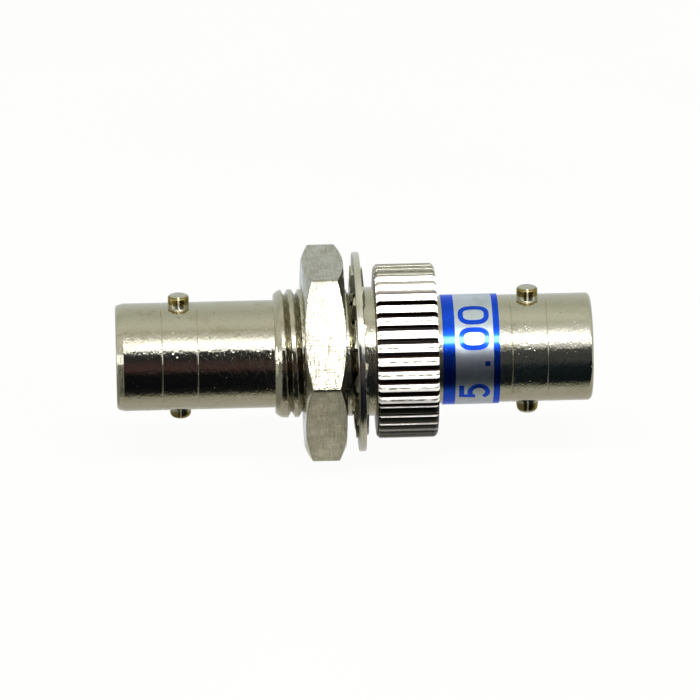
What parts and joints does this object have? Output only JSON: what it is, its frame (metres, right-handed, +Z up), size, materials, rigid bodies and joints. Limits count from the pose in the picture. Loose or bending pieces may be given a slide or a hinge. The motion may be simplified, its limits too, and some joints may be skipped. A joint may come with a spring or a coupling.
{
  "type": "fiber optic attenuator",
  "caption": "Nickel-plated bulkhead attenuator with a bayonet fibre socket at each end, a threaded panel mount, nut, lock washer and knurled ring.",
  "frame": {"origin": "on the axis, in the face of the knurled ring that seats on the panel", "axes": "+X along the axis from the threaded front barrel to the labelled rear barrel, +Z up through the bayonet lugs, keyways towards +Y"},
  "size_m": [0.0352, 0.0164, 0.0148],
  "materials": {
    "nickel_plated_brass": "gloss",
    "bright_nickel_plated_brass": "gloss",
    "nickel_plated_spring_bronze": "satin",
    "thinly_plated_brass_pin": "gloss",
    "silver_foil_label": "satin",
    "zirconia": "gloss",
    "stainless_steel": "satin",
    "lens_glass": "polished",
    "filter_glass": "polished"
  },
  "bodies": {
    "body": {"front_body": "nickel_plated_brass", "rear_body": "nickel_plated_brass", "knurled_ring": "bright_nickel_plated_brass", "front_top_pin": "thinly_plated_brass_pin", "front_bottom_pin": "thinly_plated_brass_pin", "rear_top_pin": "thinly_plated_brass_pin", "rear_bottom_pin": "thinly_plated_brass_pin", "value_label": "silver_foil_label", "front_sleeve_holder": "nickel_plated_brass", "rear_sleeve_holder": "nickel_plated_brass", "front_split_sleeve": "zirconia", "rear_split_sleeve": "zirconia", "lens_tube": "stainless_steel", "front_lens": "lens_glass", "rear_lens": "lens_glass", "filter_disc": "filter_glass"},
    "washer": {"lock_washer": "nickel_plated_spring_bronze"},
    "nut": {"panel_nut": "bright_nickel_plated_brass"}
  },
  "joints": [
    {"name": "washer_travel", "type": "slide", "parent": "body", "child": "washer", "axis": [1, 0, 0], "range_m": [-0.0051, 0.00043]},
    {"name": "nut_turn", "type": "hinge", "parent": "washer", "child": "nut", "pos_m": [-0.00383, 0, 0], "axis": [1, 0, 0], "range_deg": [-2310, 190]}
  ],
  "couplings": [
    {"joint": "washer_travel", "follows": "nut_turn", "m_per_rad": 0.00012633}
  ]
}
